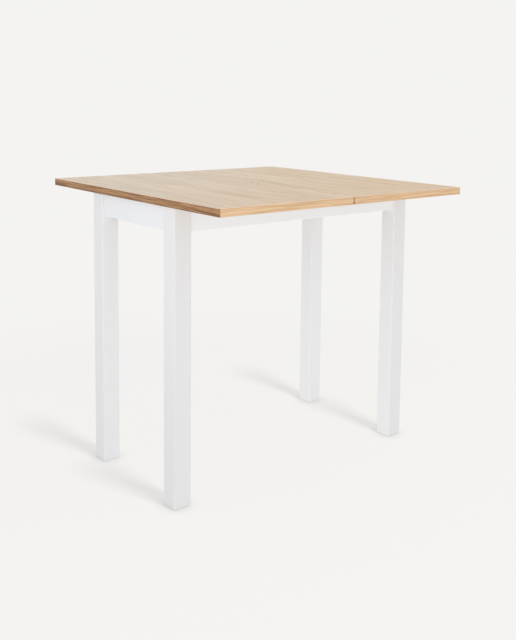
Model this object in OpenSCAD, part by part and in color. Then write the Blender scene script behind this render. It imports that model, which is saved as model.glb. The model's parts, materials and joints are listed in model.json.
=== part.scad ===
// Swivel-and-fold extending table: a square two-leaf top on a slim four-leg frame.
// The flap leaf folds over the main leaf, and the folded top then turns a quarter turn to cover the frame.
// X runs along the frame's long side, Y along the seam between the leaves, Z up.
// The origin is on the floor, under the centre of the opened top. The table is drawn open.

/* [Top] */
// Height of the top surface above the floor
table_h = 750; // [700:5:780]
// Opened top across the seam: both leaves and the gap between them
top_w = 800; // [760:10:900]
// Opened top along the seam
top_d = 800; // [740:10:840]
// Thickness of a leaf
leaf_t = 19; // [17:1:28]
// Gap between the opened leaves
leaf_gap = 2; // [1.6:0.2:3]
// Thickness of an edge band
band_t = 2; // [1:0.5:3]
// Radius of the eased arris along an edge band
band_ease = 1; // [0.4:0.1:1]

/* [Frame] */
// Overhang of the closed top past each end of the frame
end_overhang = 5; // [4:1:20]
// Overhang of the closed top past each long side of the frame
side_overhang = 1.5; // [0:0.5:6]
// Centre of the frame from the centre of the opened top, along X
frame_shift_x = 4; // [-5:0.5:5]
// Centre of the frame from the centre of the opened top, along Y
frame_shift_y = -12.5; // [-20:0.5:10]
// Gap between the frame's upper edge and the underside of the leaves
top_gap = 1.5; // [1:0.1:4]

/* [Legs] */
// Width of a square leg
leg_w = 48; // [42:1:60]
// Radius of a leg's arrises
leg_round = 3; // [1:0.5:6]
// Size of the chamfer on a leg's inner corner, behind the bracket
leg_chamfer = 12; // [8:1:16]
// Thickness of a foot glide's disc
glide_t = 1.5; // [1:0.5:6]
// Diameter of a foot glide's disc
glide_d = 30; // [20:1:40]
// Diameter of a foot glide's stem
glide_stem_d = 8; // [6:0.5:12]
// Length of a foot glide's stem
glide_stem_l = 16; // [10:1:30]
// Diameter of a slide pad on a leg's top
pad_d = 28; // [16:1:36]
// Clearance between a slide pad and the leaves
pad_clear = 0.3; // [0.2:0.1:0.6]

/* [Aprons] */
// Height of an apron
apron_h = 59; // [52:1:90]
// Thickness of an apron
apron_t = 18; // [15:1:22]
// Distance of an apron's outer face behind the legs' outer faces
apron_setback = 5; // [0:0.5:8]
// Radius of an apron's long arrises
apron_ease = 1.5; // [0.5:0.5:3]
// Diameter of a dowel
dowel_d = 8; // [6:1:10]
// Length of a dowel
dowel_l = 30; // [20:2:36]
// Height between the two dowels of a joint
dowel_spread = 30; // [24:1:36]

/* [Corner brackets] */
// Height of a corner bracket
bracket_h = 40; // [30:1:50]
// Thickness of a corner bracket's steel
bracket_t = 2; // [1.5:0.5:3]
// Length of the flange on each apron
bracket_flange = 34; // [30:1:50]
// Clearance between a leg's chamfer and the bracket, which lets the nut pull the leg tight
bracket_standoff = 4; // [1:0.5:8]
// Distance of the flange's outer screw from its end
bracket_screw_inset = 7; // [6:0.5:9]
// Distance between the two screws of a flange
bracket_screw_pitch = 14; // [10:1:16]
// Diameter of a bracket screw
bracket_screw_d = 4; // [3:0.5:5]
// Diameter of a bracket screw's pan head
bracket_head_d = 8; // [6:0.5:9]
// Height of a bracket screw's pan head
bracket_head_h = 2.4; // [2:0.1:3]
// Length of a bracket screw under its head
bracket_screw_l = 15; // [10:1:16]

/* [Hanger bolts] */
// Diameter of a hanger bolt
hanger_d = 8; // [6:1:10]
// Depth of a hanger bolt in its leg
hanger_depth = 28; // [20:1:32]
// Length of a hanger bolt past its nut
hanger_tail = 4; // [2:1:8]
// Diameter of a hanger bolt's washer
hanger_washer_d = 20; // [16:1:24]
// Thickness of a hanger bolt's washer
hanger_washer_t = 1.6; // [1:0.2:2.4]
// Width across the flats of a hanger bolt's nut
hanger_nut_w = 13; // [12:1:16]
// Height of a hanger bolt's nut
hanger_nut_h = 6.5; // [5:0.5:8]

/* [Hinges] */
// Length of a hinge
hinge_l = 60; // [50:2:80]
// Distance between the two outer hinges
hinge_span = 600; // [400:10:620]
// Thickness of a hinge plate
hinge_plate_t = 1; // [0.7:0.1:1.2]
// Depth of a hinge plate below the pin's axis
hinge_plate_h = 15; // [13:0.5:16]
// Height of the pin's axis above the top surface
hinge_rise = 0.3; // [0.2:0.1:0.6]
// Number of knuckles in a hinge, the outer ones on the main leaf
knuckles = 5; // [3:2:7]
// Gap between neighbouring knuckles
knuckle_gap = 0.3; // [0.2:0.1:0.6]
// Clearance round a knuckle, cut in the other leaf and its plate
knuckle_clear = 0.3; // [0.2:0.1:0.5]
// Clearance round a hinge plate in its seat in the seam band
seat_clear = 0.2; // [0.1:0.05:0.4]
// Thickness of the upset heads of a hinge pin
pin_head_t = 0.8; // [0.5:0.1:1.5]
// Diameter of a hinge screw
hinge_screw_d = 2.4; // [2:0.1:3]
// Length of a hinge screw
hinge_screw_l = 16; // [12:1:20]
// Distance between neighbouring hinge screws
hinge_screw_pitch = 20; // [16:1:22]
// Depth of the hinge screws below the pin's axis
hinge_screw_drop = 8.5; // [7:0.5:9.5]

/* [Swivel] */
// Diameter of the pivot bolt
bolt_d = 10; // [8:1:12]
// Diameter of the pivot bolt's flat head
bolt_head_d = 24; // [20:1:30]
// Thickness of the pivot bolt's flat head
bolt_head_t = 3; // [2:0.5:4]
// Length of the pivot bolt past its nut
bolt_tail = 3; // [1:0.5:6]
// Thickness of the swivel plates
plate_t = 2.5; // [2.2:0.1:4]
// Diameter of the round upper plate
upper_plate_d = 110; // [100:1:116]
// Distance of the upper plate's screws from the pivot
upper_screw_r = 46; // [44:1:49]
// Width of the square lower plate
lower_plate_w = 120; // [112:1:124]
// Corner radius of the lower plate
lower_plate_round = 10; // [4:1:16]
// Distance of the lower plate's screws from its edges
lower_screw_inset = 12; // [8:0.5:16]
// Distance of the stop pin from the pivot
stop_r = 40; // [38:0.5:42]
// Diameter of the stop pin
stop_pin_d = 6; // [4:0.5:7]
// Clearance of the stop pin in its slot
stop_clear = 0.3; // [0.2:0.1:0.8]
// Outer diameter of the thrust washer
thrust_d = 64; // [40:1:68]
// Thickness of the thrust washer
thrust_t = 1.5; // [1:0.1:3]
// Clearance between faces that turn on each other
turn_clear = 0.3; // [0.1:0.1:0.6]
// Diameter of the large washer under the pivot board
clamp_washer_d = 30; // [24:1:40]
// Thickness of the large washer
clamp_washer_t = 2; // [1.5:0.5:3]
// Outer diameter of the spring washer
spring_washer_d = 18; // [16:0.5:22]
// Thickness of the spring washer
spring_washer_t = 2.5; // [1.5:0.5:3]
// Width of the split in the spring washer
spring_washer_split = 2; // [1:0.5:3]
// Width across the flats of the lock nut
lock_nut_w = 17; // [16:1:20]
// Height of the lock nut
lock_nut_h = 10; // [8:0.5:12]

/* [Pivot board] */
// Width of the pivot board along the frame
board_w = 160; // [150:2:220]
// Thickness of the pivot board
board_t = 18; // [16:1:20]
// Width and height of a cleat under the board
cleat_w = 20; // [18:1:26]
// Distance of the board's screws from its long edges
board_screw_inset = 10; // [8:0.5:12]
// Distance of the cleats' screws from the pivot
cleat_screw_reach = 45; // [35:1:55]

/* [Countersunk screws] */
// Diameter of the board, cleat and plate screws
wood_screw_d = 4; // [3:0.5:4.5]
// Diameter of their countersunk heads
wood_head_d = 8; // [7:0.5:8]
// Length of a board or cleat screw
board_screw_l = 30; // [28:1:33]
// Length of a plate screw
plate_screw_l = 15; // [10:1:16]

/* [Fits] */
// Radial clearance round a screw, dowel or stem in its bore
bore_fit = 0.1; // [0.05:0.01:0.2]
// Radial clearance of a pin or shaft that turns in its bore
run_fit = 0.05; // [0.02:0.01:0.1]
// Radial clearance round the pivot bolt in the pivot board
board_bore_fit = 0.5; // [0.2:0.1:1]
// Clearance round the pivot bolt's head in the main leaf
head_pocket_fit = 0.5; // [0.2:0.1:1]

/* [Hidden] */
$fn = 64;
// Sets a cut past the face that it starts from
past = 1;
lacquer = [0.93, 0.94, 0.95];
oak_face = [0.86, 0.77, 0.65];
oak_end_band = [0.86, 0.69, 0.50];
oak_side_band = [0.55, 0.42, 0.30];
raw_wood = [0.80, 0.68, 0.52];
zinc = [0.74, 0.76, 0.78];
pale_brass = [0.83, 0.75, 0.62];
nylon = [0.92, 0.91, 0.88];
felt = [0.62, 0.60, 0.57];

// Leaves
leaf_w = (top_w - leaf_gap) / 2;
leaf_x = leaf_gap / 2;
leaf_z = table_h - leaf_t;
main_side = 1;
flap_side = -1;
outer_band = leaf_w - band_t;
front_end = -top_d / 2;
back_end = top_d / 2 - band_t;

// Frame: the closed top covers it, with a leaf's long side along X
frame_l = top_d - 2 * end_overhang;
frame_w = leaf_w - 2 * side_overhang;
frame_z = leaf_z - top_gap;
leg_in = apron_setback + apron_t;
inner_x = frame_l / 2 - leg_in;
inner_y = frame_w / 2 - leg_in;
leg_back = leg_w - leg_in;
apron_z = frame_z - apron_h;
apron_mid = frame_z - apron_h / 2;
leg_centre = leg_w / 2 - leg_in;

// Corner joint, measured along the diagonal of a corner
chamfer_reach = (2 * leg_back - leg_chamfer) / sqrt(2);
bracket_reach = chamfer_reach + bracket_standoff;
bracket_start = bracket_reach * sqrt(2);
bracket_end = bracket_start + bracket_flange;
bracket_bend = bracket_start + bracket_t * (sqrt(2) - 1);
hanger_face = bracket_reach + bracket_t;
hanger_end = hanger_face + hanger_washer_t + hanger_nut_h + hanger_tail;

// Pivot: turning the main leaf clockwise about it brings the leaf's centre over the frame's centre
leaf_centre_x = leaf_x + leaf_w / 2;
pivot_x = (leaf_centre_x + frame_shift_y + frame_shift_x) / 2;
pivot_y = (leaf_centre_x + frame_shift_y - frame_shift_x) / 2;

// Heights of the swivel, downwards from the underside of the main leaf
upper_plate_z = leaf_z - plate_t;
lower_plate_top = upper_plate_z - turn_clear - thrust_t;
board_top = lower_plate_top - plate_t;
board_z = board_top - board_t;
clamp_washer_z = board_z - turn_clear - clamp_washer_t;
spring_washer_z = clamp_washer_z - spring_washer_t;
lock_nut_z = spring_washer_z - lock_nut_h;
bolt_end = lock_nut_z - bolt_tail;
cleat_z = board_z - cleat_w;

// A quarter turn clockwise closes the table, with the stop pin's path centred behind the pivot
swivel_turn = 90;
stop_start = 90 + swivel_turn / 2;
stop_end = stop_start - swivel_turn;
slot_half = stop_pin_d / 2 + stop_clear;

// Hinges
hinge_z = table_h + hinge_rise;
barrel_r = leaf_gap / 2 + hinge_plate_t;
hinge_pin_r = leaf_gap / 2 - run_fit;
hinge_places = [-hinge_span / 2, 0, hinge_span / 2];
knuckle_l = hinge_l / knuckles;
pin_head_r = (hinge_pin_r + barrel_r) / 2;

corner_ids = [0, 1, 2, 3];

// Shared shapes

// Rectangle from a corner at the origin, with round corners
module round_rect(w, h, r) {
    translate([r, 0]) square([w - 2 * r, h]);
    translate([0, r]) square([w, h - 2 * r]);
    for (x = [r, w - r], y = [r, h - r])
        translate([x, y]) circle(r);
}

// Countersunk screw with the flat of its head at the origin and its shank along -Z
module countersunk_screw(d, head_d, l, fit = 0) {
    head_h = (head_d - d) / 2;
    translate([0, 0, -head_h]) cylinder(h = head_h, d1 = d + 2 * fit, d2 = head_d + 2 * fit);
    translate([0, 0, -l - fit]) cylinder(h = l + fit, d = d + 2 * fit);
    if (fit > 0) cylinder(h = fit, d = head_d + 2 * fit);
}

// Flat ring standing on the origin
module ring(d, bore_d, h) {
    difference() {
        cylinder(h = h, d = d);
        translate([0, 0, -past]) cylinder(h = h + 2 * past, d = bore_d);
    }
}

// Hexagon nut standing on the origin, its width taken across the flats
module hex_nut(w, bore_d, h) {
    difference() {
        cylinder(h = h, d = w / cos(30), $fn = 6);
        translate([0, 0, -past]) cylinder(h = h + 2 * past, d = bore_d);
    }
}

// Places

// A corner's own frame: its origin is where the inner faces of two aprons meet, +X and +Y point inwards
module at_corner(i) {
    translate([frame_shift_x, frame_shift_y, 0])
        mirror([i % 2, 0, 0]) mirror([0, floor(i / 2), 0])
            translate([-inner_x, -inner_y, 0]) children();
}

// The diagonal of a corner as +X, at the height of the hanger bolt
module along_diagonal(reach) {
    translate([0, 0, apron_mid]) rotate([0, 0, 45])
        translate([reach, 0, 0]) rotate([0, 90, 0]) children();
}

// Both sides of a corner's diagonal
module both_aprons() {
    children();
    mirror([1, -1, 0]) children();
}

module at_pivot(z) {
    translate([pivot_x, pivot_y, z]) children();
}

// Frame

module dowels_at(i, fit = 0) {
    at_corner(i) both_aprons()
        for (side = [-1, 1])
            translate([leg_back - dowel_l / 2 - fit, -apron_t / 2, apron_mid + side * dowel_spread / 2])
                rotate([0, 90, 0]) cylinder(h = dowel_l + 2 * fit, d = dowel_d + 2 * fit);
}

module apron_dowels() {
    color(raw_wood) for (i = corner_ids) dowels_at(i);
}

module hanger_shank(i, fit = 0) {
    start = chamfer_reach - hanger_depth - fit;
    at_corner(i) along_diagonal(start) cylinder(h = hanger_end - start, d = hanger_d + 2 * fit);
}

module hanger_bolts() {
    color(zinc) for (i = corner_ids) hanger_shank(i);
}

module hanger_washers() {
    color(zinc) for (i = corner_ids)
        at_corner(i) along_diagonal(hanger_face) ring(hanger_washer_d, hanger_d + 2 * bore_fit, hanger_washer_t);
}

module hanger_nuts() {
    color(zinc) for (i = corner_ids)
        at_corner(i) along_diagonal(hanger_face + hanger_washer_t)
            hex_nut(hanger_nut_w, hanger_d + 2 * bore_fit, hanger_nut_h);
}

module glide_shape(i, fit = 0) {
    at_corner(i) translate([leg_centre, leg_centre, 0]) {
        if (fit == 0) cylinder(h = glide_t, d = glide_d);
        cylinder(h = glide_t + glide_stem_l + fit, d = glide_stem_d + 2 * fit);
    }
}

module foot_glide(i) {
    color(nylon) glide_shape(i);
}

module leg(i) {
    color(lacquer) difference() {
        at_corner(i) difference() {
            translate([-leg_in, -leg_in, glide_t])
                linear_extrude(frame_z - glide_t) round_rect(leg_w, leg_w, leg_round);
            rotate([0, 0, 45]) translate([chamfer_reach, -leg_w, apron_z])
                cube([leg_w, 2 * leg_w, apron_h + past]);
        }
        dowels_at(i, bore_fit);
        hanger_shank(i, bore_fit);
        glide_shape(i, bore_fit);
    }
}

module slide_pad(i) {
    color(felt) at_corner(i) translate([leg_centre, leg_centre, frame_z])
        cylinder(h = top_gap - pad_clear, d = pad_d);
}

// Pan-head screws of one corner, with the underside of their heads on the bracket
module bracket_screws_at(i, fit = 0) {
    first = bracket_end - bracket_screw_inset;
    at_corner(i) both_aprons()
        for (x = [first - bracket_screw_pitch, first])
            translate([x, bracket_t, apron_mid]) rotate([90, 0, 0]) {
                cylinder(h = bracket_screw_l + fit, d = bracket_screw_d + 2 * fit);
                if (fit == 0)
                    translate([0, 0, -bracket_head_h]) cylinder(h = bracket_head_h, d = bracket_head_d);
            }
}

module bracket_screws() {
    color(zinc) for (i = corner_ids) bracket_screws_at(i);
}

module corner_bracket(i) {
    color(zinc) difference() {
        at_corner(i) translate([0, 0, apron_mid - bracket_h / 2]) linear_extrude(bracket_h)
            polygon([
                [bracket_end, 0], [bracket_end, bracket_t], [bracket_bend, bracket_t],
                [bracket_t, bracket_bend], [bracket_t, bracket_end], [0, bracket_end],
                [0, bracket_start], [bracket_start, 0]
            ]);
        hanger_shank(i, bore_fit);
        bracket_screws_at(i, bore_fit);
    }
}

// Screws through the cleats into the long aprons, and through the pivot board into the cleats
module cleat_screws_at(side, fit = 0) {
    for (x = [-cleat_screw_reach, cleat_screw_reach])
        translate([pivot_x + x, frame_shift_y + side * (inner_y - cleat_w), cleat_z + cleat_w / 2])
            rotate([side * 90, 0, 0]) countersunk_screw(wood_screw_d, wood_head_d, board_screw_l, fit);
}

module board_screws_at(side, fit = 0) {
    for (x = [board_screw_inset - board_w / 2, board_w / 2 - board_screw_inset])
        translate([pivot_x + x, frame_shift_y + side * (inner_y - cleat_w / 2), board_top])
            countersunk_screw(wood_screw_d, wood_head_d, board_screw_l, fit);
}

module board_screws() {
    color(zinc) for (side = [-1, 1]) {
        cleat_screws_at(side);
        board_screws_at(side);
    }
}

module long_apron(side) {
    reach = inner_x - leg_back;
    near = side > 0 ? inner_y : -inner_y - apron_t;
    color(lacquer) difference() {
        translate([frame_shift_x - reach, frame_shift_y + near, apron_z])
            rotate([90, 0, 90]) linear_extrude(2 * reach) round_rect(apron_t, apron_h, apron_ease);
        for (i = side > 0 ? [2, 3] : [0, 1]) {
            dowels_at(i, bore_fit);
            bracket_screws_at(i, bore_fit);
        }
        cleat_screws_at(side, bore_fit);
    }
}

module short_apron(side) {
    reach = inner_y - leg_back;
    near = side > 0 ? inner_x : -inner_x - apron_t;
    color(lacquer) difference() {
        translate([frame_shift_x + near, frame_shift_y + reach, apron_z])
            rotate([90, 0, 0]) linear_extrude(2 * reach) round_rect(apron_t, apron_h, apron_ease);
        for (i = side > 0 ? [1, 3] : [0, 2]) {
            dowels_at(i, bore_fit);
            bracket_screws_at(i, bore_fit);
        }
    }
}

module pivot_cleat(side) {
    near = side > 0 ? inner_y - cleat_w : -inner_y;
    color(raw_wood) difference() {
        translate([pivot_x - board_w / 2, frame_shift_y + near, cleat_z]) cube([board_w, cleat_w, cleat_w]);
        cleat_screws_at(side, bore_fit);
        board_screws_at(side, bore_fit);
    }
}

module lower_plate_screws_at(fit = 0) {
    reach = lower_plate_w / 2 - lower_screw_inset;
    for (x = [-reach, reach], y = [-reach, reach])
        at_pivot(lower_plate_top) translate([x, y, 0])
            countersunk_screw(wood_screw_d, wood_head_d, plate_screw_l, fit);
}

module lower_plate_screws() {
    color(zinc) lower_plate_screws_at();
}

module pivot_board() {
    color(raw_wood) difference() {
        translate([pivot_x - board_w / 2, frame_shift_y - inner_y, board_z])
            cube([board_w, 2 * inner_y, board_t]);
        at_pivot(board_z - past) cylinder(h = board_t + 2 * past, d = bolt_d + 2 * board_bore_fit);
        for (side = [-1, 1]) board_screws_at(side, bore_fit);
        lower_plate_screws_at(bore_fit);
    }
}

// Quarter-turn slot round the pivot, with a round end at each stop
module stop_slot(h) {
    rotate([0, 0, stop_end]) rotate_extrude(angle = swivel_turn)
        translate([stop_r - slot_half, 0]) square([2 * slot_half, h]);
    for (a = [stop_start, stop_end])
        rotate([0, 0, a]) translate([stop_r, 0, 0]) cylinder(h = h, r = slot_half);
}

module lower_swivel_plate() {
    color(zinc) difference() {
        at_pivot(board_top) translate([-lower_plate_w / 2, -lower_plate_w / 2, 0])
            linear_extrude(plate_t) round_rect(lower_plate_w, lower_plate_w, lower_plate_round);
        at_pivot(board_top - past) cylinder(h = plate_t + 2 * past, d = bolt_d + 2 * run_fit);
        at_pivot(board_top - past) stop_slot(plate_t + 2 * past);
        lower_plate_screws_at(bore_fit);
    }
}

module thrust_washer() {
    color(nylon) at_pivot(lower_plate_top) ring(thrust_d, bolt_d + 2 * run_fit, thrust_t);
}

// Top

// Outer form of a leaf from its seam face outwards, drawn on the +X side, all its arrises eased
module leaf_form() {
    translate([leaf_x, -top_d / 2, leaf_z]) intersection() {
        translate([0, top_d, 0]) rotate([90, 0, 0]) linear_extrude(top_d) round_rect(leaf_w, leaf_t, band_ease);
        rotate([90, 0, 90]) linear_extrude(leaf_w) round_rect(top_d, leaf_t, band_ease);
        linear_extrude(leaf_t) round_rect(leaf_w, top_d, band_ease);
    }
}

module on_side(side) {
    if (side > 0) children();
    else mirror([1, 0, 0]) children();
}

// Cylinder along a stretch of knuckles, from one knuckle's number to the next
module barrel(r, from, to) {
    translate([0, from, 0]) rotate([-90, 0, 0]) cylinder(h = to - from, r = r);
}

// Hinge screws of one leaf, with their heads flush in the plates
module hinge_screws_at(side, fit = 0) {
    on_side(side) for (y = hinge_places, n = [-1, 0, 1])
        translate([leaf_x, y + n * hinge_screw_pitch, hinge_z - hinge_screw_drop])
            rotate([0, -90, 0])
                countersunk_screw(hinge_screw_d, hinge_screw_d + 2 * hinge_plate_t, hinge_screw_l, fit);
}

// Seats that let the hinge plates into the seam face and clear the knuckles
module hinge_seats(side) {
    plate_end = hinge_l / 2 + seat_clear;
    barrel_end = hinge_l / 2 + pin_head_t + knuckle_clear;
    on_side(side) for (y = hinge_places) translate([0, y, hinge_z]) {
        barrel(barrel_r + knuckle_clear, -barrel_end, barrel_end);
        translate([0, -plate_end, -hinge_plate_h - seat_clear])
            cube([barrel_r, 2 * plate_end, hinge_plate_h + seat_clear]);
    }
}

module leaf_board(side) {
    difference() {
        on_side(side) translate([leaf_x + band_t, band_t - top_d / 2, leaf_z])
            cube([leaf_w - 2 * band_t, top_d - 2 * band_t, leaf_t]);
        hinge_seats(side);
        hinge_screws_at(side, bore_fit);
    }
}

// Bands along the seam and the outer side run the full depth, and the end bands lie between them
module side_band(side, near) {
    color(oak_side_band) difference() {
        on_side(side) intersection() {
            leaf_form();
            translate([leaf_x + near, -top_d / 2, leaf_z]) cube([band_t, top_d, leaf_t]);
        }
        if (near == 0) {
            hinge_seats(side);
            hinge_screws_at(side, bore_fit);
        }
    }
}

module end_band(side, near) {
    color(oak_end_band) on_side(side) intersection() {
        leaf_form();
        translate([leaf_x + band_t, near, leaf_z]) cube([leaf_w - 2 * band_t, band_t, leaf_t]);
    }
}

module upper_plate_screws_at(fit = 0) {
    for (a = [0, 90, 180, 270])
        at_pivot(upper_plate_z) rotate([0, 0, a]) translate([upper_screw_r, 0, 0])
            mirror([0, 0, 1]) countersunk_screw(wood_screw_d, wood_head_d, plate_screw_l, fit);
}

module upper_plate_screws() {
    color(zinc) upper_plate_screws_at();
}

module main_leaf() {
    color(oak_face) difference() {
        leaf_board(main_side);
        at_pivot(leaf_z - past)
            cylinder(h = bolt_head_t + head_pocket_fit + past, d = bolt_head_d + 2 * head_pocket_fit);
        upper_plate_screws_at(bore_fit);
    }
}

module flap_leaf() {
    color(oak_face) leaf_board(flap_side);
}

module upper_swivel_plate() {
    color(zinc) difference() {
        at_pivot(upper_plate_z) cylinder(h = plate_t, d = upper_plate_d);
        at_pivot(upper_plate_z - past) cylinder(h = plate_t + 2 * past, d = bolt_d + 2 * run_fit);
        at_pivot(upper_plate_z - past) rotate([0, 0, stop_start]) translate([stop_r, 0, 0])
            cylinder(h = plate_t + 2 * past, d = stop_pin_d + 2 * run_fit);
        upper_plate_screws_at(bore_fit);
    }
}

module pivot_bolt() {
    color(zinc) {
        at_pivot(leaf_z) cylinder(h = bolt_head_t, d = bolt_head_d);
        at_pivot(bolt_end) cylinder(h = leaf_z - bolt_end, d = bolt_d);
    }
}

module pivot_washer() {
    color(zinc) at_pivot(clamp_washer_z) ring(clamp_washer_d, bolt_d + 2 * run_fit, clamp_washer_t);
}

module pivot_spring_washer() {
    color(zinc) at_pivot(spring_washer_z) difference() {
        ring(spring_washer_d, bolt_d + 2 * run_fit, spring_washer_t);
        translate([0, -spring_washer_split / 2, -past])
            cube([spring_washer_d, spring_washer_split, spring_washer_t + 2 * past]);
    }
}

module pivot_lock_nut() {
    color(zinc) at_pivot(lock_nut_z) hex_nut(lock_nut_w, bolt_d + 2 * run_fit, lock_nut_h);
}

// The pin ends inside the lower plate's slot, just clear of the board
module stop_pin() {
    foot = board_top + turn_clear;
    color(zinc) at_pivot(foot) rotate([0, 0, stop_start]) translate([stop_r, 0, 0])
        cylinder(h = leaf_z - foot, d = stop_pin_d);
}

// Hinges

// Plate and knuckles of one leaf; every other knuckle belongs to it, the first and last to the main leaf
module hinge_plate(side, place) {
    first = side > 0 ? 0 : 1;
    own = [first:2:knuckles - 1];
    other = [1 - first:2:knuckles - 1];
    start = -hinge_l / 2;
    color(pale_brass) on_side(side) translate([0, hinge_places[place], hinge_z]) difference() {
        union() {
            translate([leaf_x, start, -hinge_plate_h]) cube([hinge_plate_t, hinge_l, hinge_plate_h]);
            for (k = own)
                barrel(barrel_r, start + k * knuckle_l + knuckle_gap / 2,
                    start + (k + 1) * knuckle_l - knuckle_gap / 2);
        }
        for (k = other)
            barrel(barrel_r + knuckle_clear, start + k * knuckle_l - knuckle_gap / 2,
                start + (k + 1) * knuckle_l + knuckle_gap / 2);
        barrel(hinge_pin_r + run_fit, start - past, -start + past);
        for (n = [-1, 0, 1])
            translate([leaf_x, n * hinge_screw_pitch, -hinge_screw_drop]) rotate([0, -90, 0])
                    countersunk_screw(hinge_screw_d, hinge_screw_d + 2 * hinge_plate_t, hinge_screw_l, bore_fit);
    }
}

module hinge_pins() {
    color(pale_brass) for (y = hinge_places) translate([0, y, hinge_z]) {
        barrel(hinge_pin_r, -hinge_l / 2, hinge_l / 2);
        barrel(pin_head_r, -hinge_l / 2 - pin_head_t, -hinge_l / 2);
        barrel(pin_head_r, hinge_l / 2, hinge_l / 2 + pin_head_t);
    }
}

module hinge_screws_main() {
    color(pale_brass) hinge_screws_at(main_side);
}

module hinge_screws_flap() {
    color(pale_brass) hinge_screws_at(flap_side);
}

leg(0);  // leg_front_left
leg(1);  // leg_front_right
leg(2);  // leg_back_left
leg(3);  // leg_back_right
long_apron(-1);  // apron_front
long_apron(1);  // apron_back
short_apron(-1);  // apron_left
short_apron(1);  // apron_right
apron_dowels();
corner_bracket(0);  // corner_bracket_front_left
corner_bracket(1);  // corner_bracket_front_right
corner_bracket(2);  // corner_bracket_back_left
corner_bracket(3);  // corner_bracket_back_right
hanger_bolts();
hanger_washers();
hanger_nuts();
bracket_screws();
foot_glide(0);  // foot_glide_front_left
foot_glide(1);  // foot_glide_front_right
foot_glide(2);  // foot_glide_back_left
foot_glide(3);  // foot_glide_back_right
slide_pad(0);  // slide_pad_front_left
slide_pad(1);  // slide_pad_front_right
slide_pad(2);  // slide_pad_back_left
slide_pad(3);  // slide_pad_back_right
pivot_board();
pivot_cleat(-1);  // pivot_cleat_front
pivot_cleat(1);  // pivot_cleat_back
board_screws();
lower_swivel_plate();
lower_plate_screws();
thrust_washer();
main_leaf();
end_band(main_side, front_end);  // main_band_front
end_band(main_side, back_end);  // main_band_back
side_band(main_side, outer_band);  // main_band_outer
side_band(main_side, 0);  // main_band_seam
upper_swivel_plate();
upper_plate_screws();
pivot_bolt();
pivot_washer();
pivot_spring_washer();
pivot_lock_nut();
stop_pin();
hinge_plate(main_side, 0);  // hinge_plate_main_1
hinge_plate(main_side, 1);  // hinge_plate_main_2
hinge_plate(main_side, 2);  // hinge_plate_main_3
hinge_pins();
hinge_screws_main();
flap_leaf();
end_band(flap_side, front_end);  // flap_band_front
end_band(flap_side, back_end);  // flap_band_back
side_band(flap_side, outer_band);  // flap_band_outer
side_band(flap_side, 0);  // flap_band_seam
hinge_plate(flap_side, 0);  // hinge_plate_flap_1
hinge_plate(flap_side, 1);  // hinge_plate_flap_2
hinge_plate(flap_side, 2);  // hinge_plate_flap_3
hinge_screws_flap();
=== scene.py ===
"""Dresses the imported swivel-and-fold table and lights it in a plain studio."""

import json
import math

import bmesh
import bpy
from mathutils import Matrix, Vector


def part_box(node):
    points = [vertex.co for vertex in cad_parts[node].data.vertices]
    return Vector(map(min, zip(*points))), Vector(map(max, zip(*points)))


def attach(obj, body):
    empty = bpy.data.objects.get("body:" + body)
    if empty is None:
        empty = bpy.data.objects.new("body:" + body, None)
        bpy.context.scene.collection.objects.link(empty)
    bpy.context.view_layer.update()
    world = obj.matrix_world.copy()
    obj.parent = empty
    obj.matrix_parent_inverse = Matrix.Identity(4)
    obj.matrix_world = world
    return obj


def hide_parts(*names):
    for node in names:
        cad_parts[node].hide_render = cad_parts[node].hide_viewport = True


bl_info = {
    "name": "Swivel-and-fold table",
    "version": (1, 0, 0),
    "blender": (4, 5, 0),
    "location": "3D View > Sidebar > Table",
    "description": "Finishes for a two-leaf oak table on a white frame, its fittings and a plain studio",
    "category": "Add Mesh",
}

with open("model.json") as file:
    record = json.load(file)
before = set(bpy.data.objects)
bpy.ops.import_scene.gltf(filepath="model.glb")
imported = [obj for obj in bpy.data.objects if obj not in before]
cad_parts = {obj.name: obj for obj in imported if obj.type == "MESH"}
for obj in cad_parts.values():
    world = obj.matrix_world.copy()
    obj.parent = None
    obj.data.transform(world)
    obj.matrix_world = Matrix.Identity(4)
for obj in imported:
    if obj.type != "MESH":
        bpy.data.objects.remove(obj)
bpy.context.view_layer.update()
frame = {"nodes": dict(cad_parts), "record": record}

BODY_OF = {node: body for body, nodes in frame["record"]["behaviour"]["bodies"].items() for node in nodes}
MM = 0.001
WELD = 0.001 * MM  # corners about this near are one
LEVEL = 0.01 * MM  # points within this of a height lie on it
FINE_RIM = 1.6 * MM  # an arris in pieces shorter than this, such as a small bore's rim, stays crisp
FLAT = math.radians(0.5)  # faces that meet at less than this are one
SHARP = math.radians(40)  # edges at which faces meet at more than this are arrises
WHITE = (1.0, 1.0, 1.0)


# Shader tools

class Wire:
    """A node's output that adds Math nodes when it is used in a Python sum."""

    def __init__(self, owner, socket):
        self.owner = owner
        self.socket = socket

    def math(self, operation, *values):
        return self.owner.node("ShaderNodeMath", {"operation": operation}, dict(enumerate(values)))

    def __add__(self, other):
        return self.math("ADD", self, other)

    def __sub__(self, other):
        return self.math("SUBTRACT", self, other)

    def __rsub__(self, other):
        return self.math("SUBTRACT", other, self)

    def __mul__(self, other):
        return self.math("MULTIPLY", self, other)

    __radd__ = __add__
    __rmul__ = __mul__


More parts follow.
